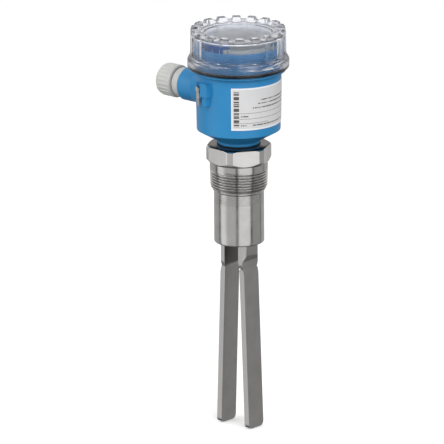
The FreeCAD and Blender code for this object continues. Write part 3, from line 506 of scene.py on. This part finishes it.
# Cable gland: body, claw ring and dome nut moulded in light grey plastic, with a rubber
# grommet and a rubber seal. The body is screwed into the port, and the nut onto the body.
grey_plastic = moulding("grey_plastic", (0.60, 0.60, 0.58), 0.40)
dress(black_rubber, "gland_seal", "gland_grommet")
dress(grey_plastic, "gland_body", "gland_claw_ring", "gland_nut")
soften(0.3, "gland_body")
soften(0.2, "gland_nut")


# Electronics insert: a pale plastic cup and front plate under a dark foil, held to the
# housing's posts by slotted screws of nickel plated brass. The board in the cup carries a
# relay and a capacitor on its underside.
pale_plastic = moulding("pale_plastic", (0.90, 0.92, 0.87), 0.4)
nickel = metal("nickel_brass", (0.68, 0.64, 0.56), 0.22, 1800.0)
dress(pale_plastic, "insert_pot", "insert_plate")
soften(0.3, "insert_plate")
dress(moulding("foil_grey", (0.16, 0.19, 0.20), 0.3), "insert_foil")
dress(nickel, "insert_screws")
dress(moulding("board_green", (0.02, 0.14, 0.06), 0.35), "circuit_board")
dress(white_plastic, "relay")
dress(black_plastic, "capacitor")


# What is let into the front plate: a blue plastic terminal block with nickel plated clamps
# and screws, two white setting switches in a black body, and three green lamp lenses.
dress(moulding("terminal_blue", (0.03, 0.16, 0.50), 0.4), "terminal_block")
soften(0.3, "terminal_block")
dress(nickel, "terminal_clamps", "terminal_screws")
dress(black_plastic, "switch_body")
dress(white_plastic, "switch_slider_1", "switch_slider_2")
dress(moulding("lamp_lens", (0.05, 0.22, 0.12), 0.18), "indicator_lamps")


# Earth terminal: a slotted screw of nickel plated brass that clamps a washer of the same
# metal onto a post of the housing's floor.
dress(nickel, "earth_washer", "earth_screw")


# Clear screw cover: one moulding of clear plastic with a grip of 18 blocks round a sunk
# window, grooves down its wall, a wide lip, and a thread inside. It closes on a rubber ring.
grip_count = 18
grip_phase = 13.0
grip_height = 2.4
grip_half_angle = 6.3
grip_edge_angle = 1.6
skirt_radius = 40.2
lip_radius = 42.3
lip_bottom = 81.8
lip_top = 88.3
wall_foot = 92.6
wall_foot_radius = 40.0
wall_top = 112.4
wall_top_radius = 39.6
rim_inner_radius = 31.0
window_radius = 26.5
window_top = 110.3
window_bottom = 107.3
window_rim_radius = 29.4
window_centre_radius = 0.02
cover_bore = 37.7
cover_ceiling = 109.6
cover_step = 84.5
groove_depth = 0.8
groove_foot = 93.0
ridge_height = 1.7
ridge_half_width = 0.75
ridge_rise = 3.0
ridge_turns = 2.5
ridge_foot = 86.7
ridge_room_top = 96.0
painted_seal_from = 82.8
painted_seal_to = 84.2


def clear_material():
    """Clear plastic, with a painted dark band at the lip's lower edge: painted shade for the black seal
    seen through it.
    """
    material, add, put = start_material("clear_plastic")
    place = object_place(add)
    ripple = noise(add, place, 60.0, 2.0)
    fine = noise(add, place, 900.0, 2.0)
    clear = cloudy(add, ripple, (0.82, 0.835, 0.88), (0.86, 0.87, 0.91))
    above = add("SeparateXYZ", {0: place}, output=2)
    # Painted shade: a dark band on the clear plastic, standing in for the black seal seen through the lip.
    lit = span(add, above, painted_seal_from * MM, painted_seal_to * MM, 0.0, 1.0)
    put(Base_Color=mixed(add, lit, (0.10, 0.10, 0.13), clear),
        Roughness=span(add, fine, 0.3, 0.7, 0.17, 0.22),
        IOR=1.49,
        Transmission_Weight=1.0,
        Normal=bump(add, ripple, 0.10, 0.0006))
    return material


def cover_grid():
    """Outline turned about the axis; the top rises at the blocks and the wall sinks between.

    A block is a smooth step of the angle's distance from its middle. The thread is a ridge
    where the height over the ridge's rise, less the angle's share of a circle, is whole.
    """
    angles = around(432)
    outline = rounded([(skirt_radius, lip_bottom, 0.3), (lip_radius, lip_bottom, 0.9),
                       (lip_radius, lip_top, 1.6), (wall_foot_radius, wall_foot, 1.6),
                       (wall_top_radius, wall_top, 1.0), (rim_inner_radius, wall_top, 0.8),
                       (window_radius, window_top, 0.8), (window_centre_radius, window_top, 0),
                       (window_centre_radius, window_bottom, 0), (window_rim_radius, window_bottom, 0.6),
                       (window_rim_radius, cover_ceiling, 1.2), (cover_bore, cover_ceiling, 1.2),
                       (cover_bore, ridge_room_top, 0), (cover_bore, cover_step, 0),
                       (skirt_radius, cover_step, 0)], 5)
    fine = (cover_bore - 0.1, cover_bore + 0.1, cover_step - 0.1, ridge_room_top + 0.1, 0.4)
    outline = along_rows(outline, 1.0, fine)
    radius, height = outline[:, :1], outline[:, 1:]
    pitch = 360.0 / grip_count
    phase = ((np.degrees(angles) - grip_phase) % pitch)[None, :]
    block = np.clip((grip_half_angle - np.minimum(phase, pitch - phase)) / grip_edge_angle, 0, 1)
    block = block * block * (3 - 2 * block)
    top = np.clip((height - 111.2) / 1.1, 0, 1) * np.clip((radius - 30.6) / 1.4, 0, 1)
    outside = (radius > cover_bore + 0.3) & (height > groove_foot)
    groove = groove_depth * (1 - block) * np.clip((height - groove_foot) / 1.5, 0, 1)
    bore = (radius < cover_bore + 0.1) & (radius > cover_bore - 0.1)
    turns = (height - ridge_foot) / ridge_rise - (angles / (2 * math.pi))[None, :]
    near = np.abs(turns - np.round(turns)) * ridge_rise
    ridge_head = ridge_foot + ridge_turns * ridge_rise
    within = np.clip(np.minimum(height - ridge_foot, ridge_head - height) / 0.6, 0, 1)
    ridge = ridge_height * np.clip((ridge_half_width - near) / 0.45, 0, 1) * within
    return on_axis(radius - np.where(outside, groove, 0) - np.where(bore, ridge, 0),
                   height + grip_height * block * top, angles[None, :])


dress(black_rubber, "cover_seal")
cover_piece = closed_piece("cover_clear", cover_grid(), "cover", clear_material(), 40.0)
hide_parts("cover")


# Light tent: white panels round the part with dark gaps between them, so that steel shows
# upright bands, and three softboxes that light it without a reflection of their own.
turn = math.radians(41.0)
dip = math.radians(16.27)
right = np.array([math.cos(turn), math.sin(turn), 0.0])
level = np.array([-math.sin(turn), math.cos(turn), 0.0])
upright = np.array([0.0, 0.0, 1.0])
look = math.cos(dip) * level - math.sin(dip) * upright
up = math.cos(dip) * upright + math.sin(dip) * level
panels = [(-180, 0.48), (-106, 0.44), (-102, 0.05), (-98, 0.05), (-90, 0.94), (-70, 0.94), (-55, 0.56),
          (-15, 0.56), (-11, 0.10), (-5, 0.10), (-1, 0.90), (52, 0.90), (56, 0.08), (61, 0.08),
          (65, 0.37), (111, 0.37), (115, 0.16), (119, 0.16), (123, 0.46), (180, 0.48)]

world = bpy.data.worlds.new("tent")
bpy.context.scene.world = world
world.use_nodes = True
world.node_tree.nodes.clear()
add = adder(world.node_tree)
direction = add("TexCoord")
sideways = add("VectorMath", {0: direction, 1: tuple(right)}, output=1, operation="DOT_PRODUCT")
backwards = add("VectorMath", {0: direction, 1: tuple(-level)}, output=1, operation="DOT_PRODUCT")
azimuth = maths(add, "ARCTAN2", sideways, backwards)
share = add("Math", {0: azimuth, 1: 1 / (2 * math.pi), 2: 0.5}, operation="MULTIPLY_ADD")
panel_colour = add("ValToRGB", {0: share})
ramp = panel_colour.node.color_ramp
ramp.elements[0].position = 0.0
ramp.elements[1].position = 1.0
for place, value in panels[1:-1]:
    ramp.elements.new(place / 360.0 + 0.5)
for element, (place, value) in zip(ramp.elements, panels):
    element.color = (value, value, value, 1)
rise = add("SeparateXYZ", {0: direction}, output=2)
lower = maths(add, "MULTIPLY", span(add, rise, -0.75, -0.45, 0.25, 1.0),
              span(add, rise, 0.1, 0.35, 1.0, 1.7))
strength = maths(add, "MULTIPLY", lower, span(add, rise, 0.72, 0.9, 1.0, 0.25))


def seen_plainly(add):
    """1 where a camera ray or a ray through clear plastic arrives, and 0 elsewhere."""
    ray = add("LightPath").node
    return maths(add, "MAXIMUM", ray.outputs["Is Camera Ray"], ray.outputs["Is Transmission Ray"])


tent = add("Background", {"Color": panel_colour, "Strength": strength})
white = add("Background", {"Color": (1, 1, 1, 1), "Strength": 1.0})
shown = add("MixShader", {0: seen_plainly(add), 1: tent, 2: white})
world.node_tree.links.new(shown, world.node_tree.nodes.new("ShaderNodeOutputWorld").inputs[0])


def softbox(name, azimuth, height, distance, size, power):
    """Square light that faces the part. Azimuth 0 is at the camera, and 90 at its right."""
    data = bpy.data.lights.new(name, "AREA")
    data.size = size
    data.energy = power
    lamp = bpy.data.objects.new(name, data)
    bpy.context.scene.collection.objects.link(lamp)
    a = math.radians(azimuth)
    spot = (math.sin(a) * right - math.cos(a) * level) * distance + upright * height
    lamp.location = spot
    lamp.rotation_mode = "QUATERNION"
    lamp.rotation_quaternion = Vector(spot - np.array([0, 0, -0.03])).to_track_quat("Z", "Y")
    lamp.visible_glossy = False


softbox("key", azimuth=28.0, height=1.1, distance=1.4, size=1.3, power=13.0)
softbox("fill", azimuth=-60.0, height=0.7, distance=1.7, size=1.4, power=8.0)
softbox("top", azimuth=180.0, height=1.6, distance=0.6, size=1.3, power=7.0)


# Floor: a plain pale board just under the tips of the fork. It shows white to the camera and
# keeps the part's soft shadow.
floor_reach = 8.0
floor_gap = 0.0004
floor_level = cad_box[0][2] - floor_gap
floor_glow = 0.25
corners = [(-floor_reach, -floor_reach), (floor_reach, -floor_reach), (floor_reach, floor_reach),
           (-floor_reach, floor_reach)]
floor_mesh = bpy.data.meshes.new("floor")
floor_mesh.from_pydata([(x, y, floor_level) for x, y in corners], [], [(0, 1, 2, 3)])
floor = bpy.data.objects.new("floor", floor_mesh)
bpy.context.scene.collection.objects.link(floor)
floor.visible_glossy = False
floor.visible_diffuse = False
floor_material, add, put = start_material("floor")
speckle = noise(add, object_place(add), 30.0, 2.0)
put(Base_Color=cloudy(add, speckle, (0.86, 0.86, 0.86), (0.88, 0.88, 0.88)),
    Roughness=0.8,
    Specular_IOR_Level=0.1,
    Emission_Color=(1, 1, 1, 1),
    Emission_Strength=maths(add, "MULTIPLY", seen_plainly(add), floor_glow))
floor_mesh.materials.append(floor_material)


# Camera: a long lens from 8 m, so that uprights stay nearly parallel. It looks down a little,
# and is rolled by a third of a degree.
picture_points = 444.0
points_per_metre = 1200.7
sensor = 36.0
distance = 8.0
aim_height = -0.055
aim_left = 0.0143
aim_up = 0.0019
camera_data = bpy.data.cameras.new("camera")
camera_data.sensor_width = sensor
camera_data.lens = points_per_metre * distance / picture_points * sensor
camera_data.clip_start = 0.1
camera_data.clip_end = 50.0
camera = bpy.data.objects.new("camera", camera_data)
bpy.context.scene.collection.objects.link(camera)
aim = aim_height * upright - aim_left * right + aim_up * up
eye = aim - distance * look
roll = math.radians(0.34)
tilted_right = math.cos(roll) * right - math.sin(roll) * up
tilted_up = math.cos(roll) * up + math.sin(roll) * right
camera.matrix_world = Matrix([[tilted_right[k], tilted_up[k], -look[k], eye[k]] for k in range(3)]
                             + [[0, 0, 0, 1]])
bpy.context.scene.camera = camera
bpy.context.scene.view_settings.view_transform = "Standard"
